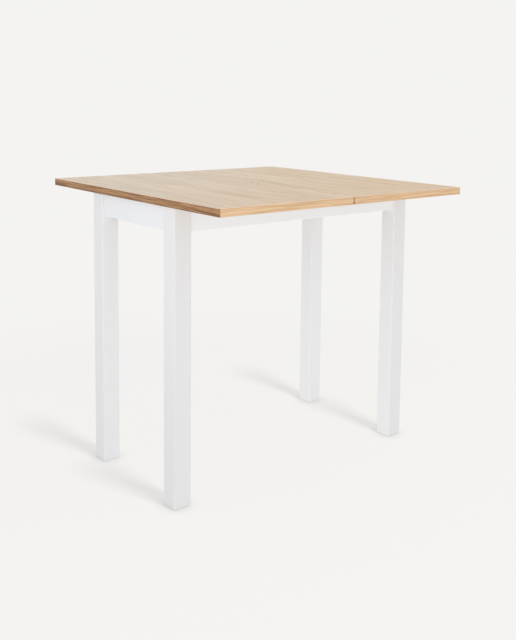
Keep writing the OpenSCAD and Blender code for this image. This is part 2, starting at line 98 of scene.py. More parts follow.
class Wiring:
    """A node tree and the calls that add nodes to it."""

    def __init__(self, tree):
        self.tree = tree

    def node(self, kind, settings=None, sockets=None, out=0):
        """Adds a node with its settings and the values or links of its sockets, and gives one output."""
        node = self.tree.nodes.new(kind)
        for key, value in (settings or {}).items():
            if key == "stops":
                self.set_stops(node.color_ramp, value)
            else:
                setattr(node, key, value)
        for key, value in (sockets or {}).items():
            self.feed(node.inputs[key], value)
        return Wire(self, node.outputs[out])

    @staticmethod
    def set_stops(ramp, stops):
        """Gives a ramp's two stops their places and colours."""
        for element, (place, colour) in zip(ramp.elements, stops):
            element.position = place
            element.color = (*colour, 1.0)

    def feed(self, socket, value):
        if isinstance(value, Wire):
            self.tree.links.new(value.socket, socket)
        elif socket.type == "RGBA":
            socket.default_value = (*value, 1.0)
        else:
            socket.default_value = value

    def place(self):
        return self.node("ShaderNodeTexCoord", out="Object")

    def along(self, axis):
        return self.node("ShaderNodeSeparateXYZ", None, {0: self.place()}, out="XYZ".index(axis))

    def grain(self, stretch, detail=2.0, roughness=0.5, shift=(0.0, 0.0, 0.0)):
        """Noise from 0 to 1 whose features are 1/stretch metres along each axis."""
        spread = self.node("ShaderNodeVectorMath", {"operation": "MULTIPLY_ADD"},
                           {0: self.place(), 1: stretch, 2: shift})
        return self.node("ShaderNodeTexNoise", None,
                         {"Vector": spread, "Scale": 1.0, "Detail": detail, "Roughness": roughness})

    def specks(self, per_metre, detail=2.0, roughness=0.5):
        """Noise that is alike in all directions, with this many features to the metre."""
        return self.grain((per_metre,) * 3, detail, roughness)

    def ramp(self, factor, stops):
        return self.node("ShaderNodeValToRGB", {"stops": stops}, {"Fac": factor})

    def between(self, value, low, high):
        """A soft step: 0 below low, 1 above high."""
        return self.node("ShaderNodeMapRange", {"interpolation_type": "SMOOTHSTEP"},
                         {"Value": value, "From Min": low, "From Max": high})

    def blend(self, factor, first, second):
        return self.node("ShaderNodeMix", {"data_type": "RGBA"}, {0: factor, 6: first, 7: second}, out=2)

    def bump(self, height, depth, strength):
        return self.node("ShaderNodeBump", None,
                         {"Height": height, "Distance": depth, "Strength": strength})


class Finish(Wiring):
    """A material in the making, with its Principled shader."""

    def __init__(self, name):
        self.material = bpy.data.materials.new(name)
        self.material.use_nodes = True
        super().__init__(self.material.node_tree)
        self.shader = self.tree.nodes["Principled BSDF"]
        self.output = self.tree.nodes["Material Output"]

    def surface(self, **sockets):
        """Feeds the shader's sockets, their names written with underscores, and gives the material."""
        for name, value in sockets.items():
            self.feed(self.shader.inputs[name.replace("_", " ")], value)
        return self.material


def linear(red, green, blue):
    """Scene colour of an sRGB colour given from 0 to 255."""
    return tuple(((c / 255 + 0.055) / 1.055) ** 2.4 for c in (red, green, blue))


def darker(shade, share):
    """A share of a colour."""
    return tuple(c * share for c in shade)


def collect(name, objects):
    """A collection that names what a lamp lights or what shades it."""
    collection = bpy.data.collections.new(name)
    for item in objects:
        collection.objects.link(item)
    return collection


def coat(nodes, material):
    """Gives these CAD nodes one material."""
    for name in nodes:
        part = frame["nodes"][name]
        part.data.materials.clear()
        part.data.materials.append(material)


# Modelling tools

def deselect():
    """Clears the selection, because an operator acts on all that is selected."""
    for item in bpy.context.selected_objects:
        item.select_set(False)


def choose(*items):
    """Selects these objects only, with the last one active."""
    deselect()
    for item in items:
        item.select_set(True)
    bpy.context.view_layer.objects.active = items[-1]


def settle(name):
    """Names the primitive just added and puts its place and turn into its mesh."""
    piece = bpy.context.object
    piece.name = name
    piece.data.uv_layers.remove(piece.data.uv_layers[0])  # no finish reads it, and cuts leave it uneven
    bpy.ops.object.transform_apply(location=True, rotation=True, scale=True)
    return piece


def rod(name, radius, bottom, top, sides=32, top_radius=None):
    """A rod along Z, or a cone where the top has a radius of its own."""
    deselect()
    bpy.ops.mesh.primitive_cone_add(
        vertices=sides, radius1=radius, radius2=radius if top_radius is None else top_radius,
        depth=top - bottom, location=(0.0, 0.0, (top + bottom) / 2))
    return settle(name)


def pick(piece, kind, test):
    """Leaves edit mode on, with the faces or edges chosen whose middle and corner points pass the test."""
    choose(piece)
    bpy.ops.object.mode_set(mode="EDIT")
    bpy.ops.mesh.select_mode(type=kind)
    bpy.ops.mesh.select_all(action="DESELECT")
    bpy.ops.object.mode_set(mode="OBJECT")
    mesh = piece.data
    for item in (mesh.polygons if kind == "FACE" else mesh.edges):
        points = [mesh.vertices[index].co for index in item.vertices]
        item.select = test(sum(points, Vector()) / len(points), points)
    bpy.ops.object.mode_set(mode="EDIT")


def round_rim(piece, height, width, steps):
    """Bevels the rim that lies at a height."""
    pick(piece, "EDGE", lambda middle, points: all(abs(point.z - height) < LEVEL for point in points))
    bpy.ops.mesh.bevel(offset=width, segments=steps, profile=0.5, affect="EDGES")
    bpy.ops.object.mode_set(mode="OBJECT")


def apply_all(piece):
    """Applies a piece's modifiers in their order."""
    choose(piece)
    for modifier in list(piece.modifiers):
        bpy.ops.object.modifier_apply(modifier=modifier.name)


def combine(piece, tool, operation):
    """Cuts with a tool, or keeps what is common to both, and takes the tool away."""
    modifier = piece.modifiers.new(operation.lower(), "BOOLEAN")
    modifier.operation = operation
    modifier.solver = "EXACT"
    modifier.object = tool
    apply_all(piece)
    bpy.data.objects.remove(tool)
    return piece


def smooth(piece, angle=35.0):
    """Shades a piece smooth, except at edges sharper than the angle."""
    choose(piece)
    bpy.ops.object.shade_smooth_by_angle(angle=math.radians(angle))
    return piece


def thread(name, radius, depth, pitch, bottom, top, steps=20):
    """A threaded rod along Z: one tooth wound up by the Screw modifier, cut flat at both ends."""
    spare_below = 2
    spare_above = 1
    deselect()
    bpy.ops.mesh.primitive_plane_add(size=depth)
    piece = settle(name)
    bpy.ops.object.mode_set(mode="EDIT")
    bpy.ops.mesh.select_mode(type="VERT")
    bpy.ops.mesh.select_all(action="SELECT")
    bpy.ops.mesh.merge(type="CENTER")
    bpy.ops.transform.translate(value=(radius - depth, 0.0, bottom - spare_below * pitch))
    for step in (depth, -depth):
        bpy.ops.mesh.extrude_region_move(TRANSFORM_OT_translate={"value": (step, 0.0, pitch / 2)})
    bpy.ops.object.mode_set(mode="OBJECT")
    winding = piece.modifiers.new("winding", "SCREW")
    winding.screw_offset = pitch
    winding.iterations = spare_below + math.ceil((top - bottom) / pitch) + spare_above
    winding.steps = winding.render_steps = steps
    winding.use_merge_vertices = True
    winding.merge_threshold = WELD
    apply_all(piece)
    bpy.ops.object.mode_set(mode="EDIT")
    for height, side in ((bottom, -1.0), (top, 1.0)):
        bpy.ops.mesh.select_all(action="SELECT")
        bpy.ops.mesh.remove_doubles(threshold=2 * WELD)
        bpy.ops.mesh.bisect(plane_co=(0.0, 0.0, height), plane_no=(0.0, 0.0, side), use_fill=True,
                            clear_outer=True)
    bpy.ops.mesh.select_all(action="SELECT")
    bpy.ops.mesh.normals_make_consistent(inside=False)
    bpy.ops.object.mode_set(mode="OBJECT")
    return piece


def solids(node):
    """The corner points of each separate solid of a CAD node, in the order of their places."""
    shape = bmesh.new()
    shape.from_mesh(frame["nodes"][node].data)
    bmesh.ops.remove_doubles(shape, verts=shape.verts, dist=WELD)
    left = dict.fromkeys(shape.verts)  # not a set, whose order would change from run to run
    groups = []
    while left:
        group, front = [], [left.popitem()[0]]
        while front:
            corner = front.pop()
            group.append(corner.co.copy())
            for edge in corner.link_edges:
                other = edge.other_vert(corner)
                if other in left:
                    del left[other]
                    front.append(other)
        groups.append(group)
    shape.free()

    def middle(group):
        return tuple(round(value, 4) for value in sum(group, Vector()) / len(group))

    return sorted(groups, key=middle)


# The ways that a fastener can lie
AXES = ((1, 0, 0), (0, 1, 0), (0, 0, 1), (1, 1, 0), (1, -1, 0))


def seat(points, reach=max):
    """The turn and move that bring a fastener modelled along Z, with the outer end of its head at the
    origin, to where these points lie; its axis is their longest or shortest measure."""
    lines = [Vector(line).normalized() for line in AXES]

    def ends(line):
        places = [point.dot(line) for point in points]
        return min(places), max(places)

    axis = reach(lines, key=lambda line: ends(line)[1] - ends(line)[0])
    side = axis.orthogonal().normalized()
    other = axis.cross(side)
    low, high = ends(axis)
    middle = side * sum(ends(side)) / 2 + other * sum(ends(other)) / 2

    def width(place):
        return max((point - middle - axis * place).length for point in points
                   if abs(point.dot(axis) - place) < LEVEL)

    if width(low) > width(high):
        axis, high = -axis, -low
    return Matrix.Translation(middle + axis * high) @ axis.to_track_quat("Z", "Y").to_matrix().to_4x4()


def finish_piece(piece, name, node, like=None):
    """Gives a new piece its name, the CAD node that it stands for with its body, and that node's
    finish or another's."""
    piece.name = piece.data.name = name
    piece.data.materials.clear()
    piece.data.materials.append(frame["nodes"][like or node].data.materials[0])
    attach(piece, BODY_OF[node])
    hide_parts(node)


def ease(node, width, shortest=0.0, steps=2):
    """Replaces a CAD node by a copy with its arrises eased, as a press or a plane leaves them; arrises in
    pieces under the shortest length stay crisp."""
    piece = bpy.data.objects.new(node, frame["nodes"][node].data.copy())
    bpy.context.scene.collection.objects.link(piece)
    choose(piece)
    bpy.ops.object.mode_set(mode="EDIT")
    bpy.ops.mesh.select_all(action="SELECT")
    bpy.ops.mesh.remove_doubles(threshold=WELD)
    bpy.ops.mesh.dissolve_limited(angle_limit=FLAT)
    bpy.ops.mesh.select_mode(type="EDGE")
    bpy.ops.mesh.select_all(action="DESELECT")
    bpy.ops.mesh.edges_select_sharp(sharpness=SHARP)
    bpy.ops.object.mode_set(mode="OBJECT")
    points = [point.co for point in piece.data.vertices]
    arrises = [edge.index for edge in piece.data.edges if edge.select
               and (points[edge.vertices[0]] - points[edge.vertices[1]]).length > shortest]
    bpy.ops.object.mode_set(mode="EDIT")
    bpy.ops.mesh.select_all(action="DESELECT")
    bpy.ops.object.mode_set(mode="OBJECT")
    for index in arrises:
        piece.data.edges[index].select = True
    bpy.ops.object.mode_set(mode="EDIT")
    bpy.ops.mesh.bevel(offset=width, segments=steps, profile=0.5, affect="EDGES",
                       clamp_overlap=shortest == 0.0)
    bpy.ops.object.mode_set(mode="OBJECT")
    finish_piece(smooth(piece, angle=25.0), node + "_eased", node)


def set_out(model, node, name, reach=max):
    """Copies a fastener to the place of every solid of a CAD node and makes the copies one piece."""
    copies = []
    for points in solids(node):
        copy = model.copy()
        copy.data = model.data.copy()
        copy.data.transform(seat(points, reach))
        bpy.context.scene.collection.objects.link(copy)
        copies.append(copy)
    bpy.data.objects.remove(model)
    choose(*copies)
    if len(copies) > 1:
        bpy.ops.object.join()
    finish_piece(bpy.context.object, name, node)


# Finishes

def oak_face_finish(cool_and_sheened, warm, light, vein):
    """Straight-grained pale oak, warmer towards the front right, with a painted sheen that makes it greyer
    and paler towards the back left; broad boards' tones, streaks and veins along Y, short dark marks,
    flecks and pores."""
    line = linear(186, 158, 124)
    mark = linear(180, 150, 117)
    pore = linear(160, 131, 99)
    fleck = linear(150, 120, 90)
    away_from_painted_sheen = (1.2, -1.2, 0.0)

    oak = Finish("pale_oak")
    broad = oak.grain((11.0, 0.6, 1.0))
    streaks = oak.grain((30.0, 2.0, 1.0), 3.0, 0.55, (3.7, 1.3, 0.0))
    veins = oak.grain((42.0, 2.6, 1.0), 3.0, 0.6, (23.0, 4.1, 0.0))
    thin = oak.grain((130.0, 2.5, 1.0), 3.0, 0.55, (11.0, 7.0, 0.0))
    fine = oak.grain((460.0, 7.0, 1.0))
    pores = oak.between(oak.grain((900.0, 26.0, 1.0), 1.0, 0.5, (5.0, 2.0, 0.0)), 0.62, 0.74)
    flecks = oak.between(oak.grain((75.0, 9.0, 1.0), shift=(17.0, 9.0, 0.0)), 0.67, 0.75)
    marks = oak.between(oak.grain((120.0, 5.0, 1.0), 3.0, 0.6, (31.0, 13.0, 0.0)), 0.54, 0.74)
    # The pull from the warm front right to the grey, pale back left is a painted sheen; the broad noise
    # mixed into it is the boards' own tone.
    across = oak.node("ShaderNodeVectorMath", {"operation": "DOT_PRODUCT"},
                      {0: oak.place(), 1: away_from_painted_sheen}, out=1)
    warmth = oak.node("ShaderNodeClamp", None, {0: 0.5 + across + 1.1 * (broad - 0.5)})

    tone = oak.blend(warmth, cool_and_sheened, warm)
    tone = oak.blend(oak.between(streaks, 0.44, 0.62) * 0.70, tone, light)
    tone = oak.blend(oak.between(veins, 0.50, 0.68) * 0.50, tone, vein)
    tone = oak.blend(oak.between(thin, 0.52, 0.70) * 0.37, tone, vein)
    tone = oak.blend(marks * 0.42, tone, mark)
    tone = oak.blend(fine * 0.14, tone, line)
    tone = oak.blend(pores * 0.22, tone, pore)
    tone = oak.blend(flecks * 0.42, tone, fleck)
    return oak.surface(Base_Color=tone, Roughness=0.46 + 0.10 * fine, Specular_IOR_Level=0.35,
                       Normal=oak.bump(fine - 0.6 * pores, 0.08 * MM, 0.5))


def band_finish(name, along, light, dark, arris):
    """Edge band with broken lines along X or Y, with painted shade along its two edges and a painted
    highlight on its top arris.
    """
    band = Finish(name)

    def stretch(lengthwise, upright):
        return (lengthwise, 1.0, upright) if along == "X" else (1.0, lengthwise, upright)

    lines = band.grain(stretch(7.0, 350.0), 2.0, 0.6, (0.0, 0.0, 3.3))
    fine = band.grain(stretch(14.0, 560.0), shift=(2.0, 5.0, 0.0))
    colour = band.ramp(lines * 0.55 + fine * 0.45, [(0.42, dark), (0.57, light)])
    bottom, top = (corner.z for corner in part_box("main_leaf"))
    height = band.along("Z")
    # Painted shade along the bottom arris and just under the top arris, and a painted highlight on the
    # eased top arris
    low = 1.0 - band.between(height, bottom + 0.8 * MM, bottom + 2.4 * MM)
    high = band.between(height, top - 3.2 * MM, top - 2.0 * MM)
    eased = band.between(height, top - 1.3 * MM, top - 0.7 * MM)
    colour = band.blend(low * 0.7, colour, dark)
    colour = band.blend(high * 0.5, colour, dark)
    colour = band.blend(eased * 0.9, colour, arris)
    return band.surface(Base_Color=colour, Roughness=0.48 + 0.08 * fine, Specular_IOR_Level=0.35,
                        Normal=band.bump(lines, 0.06 * MM, 0.5))


def lacquer_finish(name, shade):
    """Satin lacquer with a faint cloud in its tone and a fine orange peel."""
    lacquer = Finish(name)
    cloud = lacquer.grain((5.0, 5.0, 1.4), 3.0)
    peel = lacquer.specks(420.0)
    colour = lacquer.blend(cloud, darker(shade, 0.985), shade)
    return lacquer.surface(Base_Color=colour, Roughness=0.34 + 0.06 * peel, Specular_IOR_Level=0.4,
                           Normal=lacquer.bump(peel, 0.03 * MM, 0.35))


def raw_wood_finish(light, dark, name="bare_board", along="Y"):
    """Bare softwood with its grain along X or Y."""
    wood = Finish(name)

    def stretch(across, lengthwise, upright):
        return (across, lengthwise, upright) if along == "Y" else (lengthwise, across, upright)

    rings = wood.grain(stretch(14.0, 1.2, 60.0), 3.0, 0.6)
    fine = wood.grain(stretch(240.0, 8.0, 300.0))
    colour = wood.ramp(rings * 0.7 + fine * 0.3, [(0.32, dark), (0.68, light)])
    return wood.surface(Base_Color=colour, Roughness=0.62 + 0.1 * fine,
                        Normal=wood.bump(fine, 0.1 * MM, 0.6))


def zinc_finish(shade):
    """Zinc plating, clouded and finely speckled."""
    zinc = Finish("zinc_plating")
    cloud = zinc.specks(90.0)
    speckle = zinc.specks(1300.0)
    colour = zinc.ramp(cloud * 0.6 + speckle * 0.4, [(0.3, darker(shade, 0.8)), (0.7, shade)])
    return zinc.surface(Base_Color=colour, Metallic=1.0, Roughness=0.30 + 0.10 * speckle,
                        Normal=zinc.bump(speckle, 0.01 * MM, 0.3))


def pale_brass_finish(brushed_shade, polished_shade):
    """Brushed hinge plates with polished knuckles above the leaves' faces."""
    brass = Finish("brushed_brass")
    cloud = brass.specks(220.0, 3.0, 0.6)
    brushed = brass.grain((60.0, 60.0, 1500.0))
    plate = brass.ramp(cloud * 0.5 + brushed * 0.5,
                       [(0.3, darker(brushed_shade, 0.65)), (0.7, brushed_shade)])
    knuckle = brass.ramp(cloud, [(0.3, darker(polished_shade, 0.92)), (0.7, polished_shade)])
    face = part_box("main_leaf")[1].z
    polished = brass.between(brass.along("Z"), face - 0.6 * MM, face - 0.1 * MM)
    return brass.surface(Base_Color=brass.blend(polished, plate, knuckle), Metallic=1.0,
                         Roughness=0.36 + 0.20 * brushed, Normal=brass.bump(brushed, 0.02 * MM, 0.4))


def nylon_finish(shade):
    """Moulded nylon with a fine grain."""
    nylon = Finish("white_nylon")
    grain = nylon.specks(700.0)
    colour = nylon.blend(grain, darker(shade, 0.88), shade)
    return nylon.surface(Base_Color=colour, Roughness=0.42 + 0.12 * grain,
                         Normal=nylon.bump(grain, 0.03 * MM, 0.4))


def felt_finish(shade):
    """Pressed felt with light and dark fibres."""
    felt = Finish("grey_felt")
    fibres = felt.grain((1400.0, 1400.0, 900.0), 3.0, 0.65)
    colour = felt.blend(fibres, darker(shade, 0.5), shade)
    return felt.surface(Base_Color=colour, Roughness=0.96, Normal=felt.bump(fibres, 0.2 * MM, 0.8))


# Settings

def tint(name, description, shade):
    return bpy.props.FloatVectorProperty(name=name, description=description, subtype="COLOR",
                                         size=3, min=0.0, max=1.0, default=shade)


def shades(settings, *names):
    """The colours of these settings as plain values."""
    return [tuple(getattr(settings, name)) for name in names]


class TableFinishSettings(bpy.types.PropertyGroup):
    leg_white: tint("Leg lacquer", "Colour of the legs' lacquer", linear(231, 231, 233))
    # Painted light: the aprons' lacquer is a lighter, bluer copy of the legs' lacquer, the same paint, for
    # the brighter light on the aprons; both are a touch blue against the warm light bounced off the oak.
    apron_white: tint("Apron lacquer", "Colour of the aprons' lacquer", linear(235, 237, 241))
    # The cool oak colour is partly a painted sheen: the grey, pale tone the top takes towards the back
    # left.
    oak_cool_and_sheened: tint("Cool oak", "Colour of the oak faces away from the warm corner", linear(215, 201, 183))
    oak_warm: tint("Warm oak", "Colour of the oak faces towards the warm corner", linear(218, 192, 160))
    oak_light: tint("Oak streaks", "Colour of the light streaks of the oak faces", linear(228, 210, 187))
    oak_vein: tint("Oak veins", "Colour of the dark veins of the oak faces", linear(195, 168, 136))
    end_light: tint("End band, light", "Light colour of the front and back bands", linear(228, 195, 156))
    end_dark: tint("End band, dark", "Dark colour of the front and back bands", linear(205, 167, 127))
    # The side and seam bands are darker copies of the end bands' oak foil: partly painted shade, partly the
    # foil's own tone.
    side_light: tint("Side band, light", "Light colour of the outer sides' bands", linear(181, 138, 96))
    side_dark: tint("Side band, dark", "Dark colour of the outer sides' bands", linear(122, 82, 48))
    seam_light: tint("Seam band, light", "Light colour of the bands along the seam", linear(215, 179, 141))
    seam_dark: tint("Seam band, dark", "Dark colour of the bands along the seam", linear(174, 136, 98))
    # The arris colour is a painted highlight along the bands' eased top edge.
    arris: tint("Arris", "Colour of the eased top edge of the bands", linear(228, 206, 182))
    wood_light: tint("Bare wood, light", "Light colour of the bare wood", linear(222, 194, 154))
    wood_dark: tint("Bare wood, dark", "Dark colour of the bare wood", linear(176, 140, 98))
    zinc: tint("Zinc", "Colour of the zinc-plated steel", linear(216, 218, 221))
    brass: tint("Brushed brass", "Colour of the hinge plates", linear(214, 192, 152))
    polished_brass: tint("Polished brass", "Colour of the hinge knuckles", linear(235, 219, 197))
    nylon: tint("Nylon", "Colour of the nylon", linear(236, 234, 226))
    felt: tint("Felt", "Colour of the felt", linear(176, 171, 163))


def size(name, description, metres):
    return bpy.props.FloatProperty(name=name, description=description, default=metres, min=0.0,
                                   unit="LENGTH")


def brightness(name, description, value, most, unit="NONE"):
    return bpy.props.FloatProperty(name=name, description=description, default=value, min=0.0, max=most,
                                   unit=unit)


class TableFittingSettings(bpy.types.PropertyGroup):
    screw_head_height: size("Pan head height", "Height of a pan head over the bracket", 2.4 * MM)
    leg_bolt: size("Leg bolt", "Thread width of a hanger bolt", 8 * MM)
    leg_nut: size("Leg nut", "Width of a hanger bolt's nut across its flats", 13 * MM)
    pivot_bolt: size("Pivot bolt", "Thread width of the pivot bolt", 10 * MM)
    pivot_head: size("Pivot head", "Width of the pivot bolt's head", 24 * MM)
    pivot_plain: size("Pivot shank", "Length of the pivot bolt's plain shank under its head", 22 * MM)
    pivot_nut: size("Pivot nut", "Width of the pivot's lock nut across its flats", 17 * MM)
    steel_ease: size("Steel arris", "Easing of the arrises of pressed steel", 0.6 * MM)
    wood_ease: size("Wood arris", "Easing of the arrises of bare wood", 1 * MM)
    pad_ease: size("Pad arris", "Easing of the rims of the felt pads", 0.8 * MM)


class TableStudioSettings(bpy.types.PropertyGroup):
    backdrop: tint("Backdrop", "Colour of the floor and the backdrop", linear(244, 243, 241))
    zenith: brightness("Zenith", "Strength of the light from straight above", 0.76, 2.0)
    horizon: brightness("Horizon", "Strength of the light from all around", 0.89, 2.0)
    key: brightness("Key lamp", "Strength of the lamp over the top", 0.55, 10.0)
    left_card: brightness("Left card", "Power of the low lamp on the left", 0.75, 100.0, "POWER")
    front_card: brightness("Front card", "Power of the low lamp in front", 3.3, 100.0, "POWER")
    floor_lamp: brightness("Floor lamp", "Power of the lamp that draws the shadows", 860.0, 5000.0, "POWER")
    floor_lamp_place: bpy.props.FloatVectorProperty(
        name="Floor lamp place", description="Where that lamp hangs", subtype="TRANSLATION", size=3,
        default=(0.26, -3.56, 8.5))
    floor_lamp_size: size("Floor lamp size", "Width of that lamp, which softens the shadows", 1.4)
    cross_x: brightness(
        "Cross lamp along X", "Strength of the lamp that opens the shade on the far legs", 0.50, 10.0)
    cross_y: brightness(
        "Cross lamp along Y", "Strength of the lamp that opens the shade under the front edge", 0.36, 10.0)


# Stage

# Camera of the photograph, in metres and degrees; its axis meets the picture above the middle row
CAMERA_PLACE = (-1.4453, -1.8436, 0.9861)
CAMERA_YAW = 38.503
CAMERA_PITCH = 5.914
CAMERA_ROLL = 0.602
PICTURE_HEIGHT = 640
FOCAL_PIXELS = 848.65
AXIS_ROW = 185
SENSOR = 36.0

# Share of the floor that glows by itself, how strongly, and how much of that glow is left in the painted
# contact shadow where a leg meets it, felt within a reach in metres; the rest of the floor catches the
# legs' shadows
GLOW_SHARE = 0.85
GLOW = 0.868
CONTACT_SHADOW_SHARE = 0.70
CONTACT_SHADOW_REACH = 0.035

# The floor's radius, and the distances from its middle between which it turns into the plain backdrop,
# in metres
FLOOR_RADIUS = 14.0
FADE_START = 0.9
FADE_END = 1.8

# Low lamps that light the object and not the floor: name, as in the settings, place and target
CARDS = (("left_card", (-1.00, -0.25, 0.70), (-0.39, -0.05, 0.55)),
         ("front_card", (-0.35, -1.90, 0.55), (0.0, 0.0, 0.45)))
CARD_WIDTH = 0.6

# Lamps without shadows for single parts: name, as in the settings, direction and what they light
CROSS_LAMPS = (("cross_x", (1.0, 0.1, -0.02), ("leg_front_right", "leg_back_right")),
               ("cross_y", (0.0, 1.0, -0.05), ("leg_back_left", "leg_back_right", "apron_front")))
CROSS_COLOUR = (0.85, 0.95, 1.0)
CROSS_ANGLE = math.radians(30)
KEY_ANGLE = math.radians(25)
ORIGIN = (0.0, 0.0, 0.0)


class TABLE_OT_stage(bpy.types.Operator):
    """Set up the floor, the backdrop, the lamps and the camera"""
    bl_idname = "table.stage"
    bl_label = "Stage"

    def execute(self, context):
        settings = context.scene.table_studio
        self.make_camera(context)
        self.make_sky(context, settings)
        floor = self.make_floor(settings)
        self.make_lamps(settings, floor)
        context.scene.view_settings.view_transform = "Standard"
        return {"FINISHED"}

    def make_camera(self, context):
        camera = bpy.data.objects.new("camera", bpy.data.cameras.new("camera"))
        context.scene.collection.objects.link(camera)
        camera.data.lens = FOCAL_PIXELS / PICTURE_HEIGHT * SENSOR
        camera.data.sensor_width = SENSOR
        camera.data.shift_y = (AXIS_ROW - PICTURE_HEIGHT / 2) / PICTURE_HEIGHT
        turn = Matrix.Rotation(math.radians(-CAMERA_YAW), 4, "Z")
        tilt = Matrix.Rotation(math.radians(90 - CAMERA_PITCH), 4, "X")
        roll = Matrix.Rotation(math.radians(CAMERA_ROLL), 4, "Z")
        camera.matrix_world = Matrix.Translation(CAMERA_PLACE) @ turn @ tilt @ roll
        context.scene.camera = camera

    def make_sky(self, context, settings):
        """White light from all around, softer from above; what looks straight at it sees the backdrop."""
        world = context.scene.world or bpy.data.worlds.new("studio")
        context.scene.world = world
        world.use_nodes = True
        sky = Wiring(world.node_tree)
        sky.tree.nodes.clear()
        direction = sky.node("ShaderNodeTexCoord", out="Generated")
        height = sky.node("ShaderNodeSeparateXYZ", None, {0: direction}, out=2)
        low = sky.node("ShaderNodeBackground", None, {"Strength": settings.horizon, "Color": WHITE})
        high = sky.node("ShaderNodeBackground", None, {"Strength": settings.zenith, "Color": WHITE})
        upward = sky.node("ShaderNodeClamp", None, {"Value": height})
        light = sky.node("ShaderNodeMixShader", None, {0: upward, 1: low, 2: high})
        shown = sky.node("ShaderNodeBackground", None, {"Color": tuple(settings.backdrop)})
        looks = sky.node("ShaderNodeLightPath", out="Is Camera Ray")
        shines = sky.node("ShaderNodeLightPath", out="Is Glossy Ray")
        passes = sky.node("ShaderNodeLightPath", out="Is Transmission Ray")
        straight = sky.node("ShaderNodeClamp", None, {"Value": looks + shines + passes})
        seen = sky.node("ShaderNodeMixShader", None, {0: straight, 1: light, 2: shown})
        output = sky.tree.nodes.new("ShaderNodeOutputWorld")
        sky.tree.links.new(seen.socket, output.inputs["Surface"])

    def make_floor(self, settings):
        """A floor that glows like the backdrop, with a painted contact shadow where a leg meets it, catches
        the legs' shadows and fades into the backdrop.
        """
        deselect()
        bpy.ops.mesh.primitive_circle_add(vertices=96, radius=FLOOR_RADIUS, fill_type="NGON")
        floor = bpy.context.object
        floor.name = "floor"
        paint = Finish("floor")
        shade = tuple(settings.backdrop)
        # Painted contact shadow: the glow dims where the occlusion node finds a leg close by.
        open_air = paint.node("ShaderNodeAmbientOcclusion", {"samples": 8}, {"Distance": CONTACT_SHADOW_REACH},
                              out="AO")
        bright = paint.node("ShaderNodeEmission", None, {"Color": shade, "Strength": GLOW})
        contact_shadow_glow = paint.node("ShaderNodeEmission", None, {"Color": shade, "Strength": GLOW * CONTACT_SHADOW_SHARE})
        glow = paint.node("ShaderNodeMixShader", None, {0: open_air, 1: contact_shadow_glow, 2: bright})
        catching = paint.node("ShaderNodeBsdfDiffuse", None, {"Color": shade})
        mix = paint.node("ShaderNodeMixShader", None, {0: GLOW_SHARE, 1: catching, 2: glow})
        distance = paint.node("ShaderNodeVectorMath", {"operation": "LENGTH"}, {0: paint.place()}, out=1)
        plain = paint.node("ShaderNodeEmission", None, {"Color": shade, "Strength": 1.0})
        far = paint.between(distance, FADE_START, FADE_END)
        whole = paint.node("ShaderNodeMixShader", None, {0: far, 1: mix, 2: plain})
        paint.tree.links.new(whole.socket, paint.output.inputs["Surface"])
        floor.data.materials.append(paint.material)
        return floor

    def make_lamp(self, kind, name, place, target, strength, spread, colour=WHITE):
        """A lamp that shines from a place to a target; spread is a sun's angle or an area lamp's width."""
        lamp = bpy.data.objects.new(name, bpy.data.lights.new(name, kind))
        lamp.location = place
        lamp.rotation_euler = (Vector(target) - Vector(place)).to_track_quat("-Z", "Y").to_euler()
        lamp.visible_camera = False
        lamp.data.energy = strength
        lamp.data.color = colour
        if kind == "SUN":
            lamp.data.angle = spread
        else:
            lamp.data.shape = "DISK"
            lamp.data.size = spread
        bpy.context.scene.collection.objects.link(lamp)
        return lamp

    def make_lamps(self, settings, floor):
        """Lamps for the shadows on the floor, for the top, for the whole table and for its shaded parts."""
        nodes = frame["nodes"]
        legs = [nodes[name] for name in nodes if name.startswith("leg_")]
        top = [nodes[name] for name in nodes if BODY_OF[name] != "frame"]
        above = tuple(settings.floor_lamp_place)
        lamp = self.make_lamp("AREA", "floor_lamp", above, ORIGIN, settings.floor_lamp,
                              settings.floor_lamp_size)
        lamp.light_linking.receiver_collection = collect("lit_by_floor_lamp", [floor])
        lamp.light_linking.blocker_collection = collect("shade_floor_lamp", legs)

        lamp = self.make_lamp("SUN", "key", above, ORIGIN, settings.key, KEY_ANGLE)
        lamp.light_linking.receiver_collection = collect("lit_by_key", top)

        not_floor = collect("not_the_floor", [floor])
        for member in not_floor.collection_objects:
            member.light_linking.link_state = "EXCLUDE"
        for name, place, target in CARDS:
            lamp = self.make_lamp("AREA", name, place, target, getattr(settings, name), CARD_WIDTH)
            lamp.light_linking.receiver_collection = not_floor

        for name, direction, parts in CROSS_LAMPS:
            lamp = self.make_lamp("SUN", name, ORIGIN, direction, getattr(settings, name), CROSS_ANGLE,
                                  CROSS_COLOUR)
            lamp.data.use_shadow = False
            lit = [nodes[part] for part in parts]
            lamp.light_linking.receiver_collection = collect("lit_by_" + name, lit)


# Leaves, frame and fittings

class TABLE_OT_leaves(bpy.types.Operator):
    """Give the two leaves their oak faces and their edge bands"""
    bl_idname = "table.leaves"
    bl_label = "Leaves"

    def execute(self, context):
        look = context.scene.table_finish
        oak = oak_face_finish(*shades(look, "oak_cool_and_sheened", "oak_warm", "oak_light", "oak_vein"))
        coat(["main_leaf", "flap_leaf"], oak)
        # The side and seam bands' darker tones are partly painted shade.
        for edge, along, places in (("end", "X", ("front", "back")),
                                    ("side", "Y", ("outer",)),
                                    ("seam", "Y", ("seam",))):
            tones = shades(look, edge + "_light", edge + "_dark", "arris")
            coat([leaf + place for leaf in ("main_band_", "flap_band_") for place in places],
                 band_finish(edge + "_edging", along, *tones))
        return {"FINISHED"}


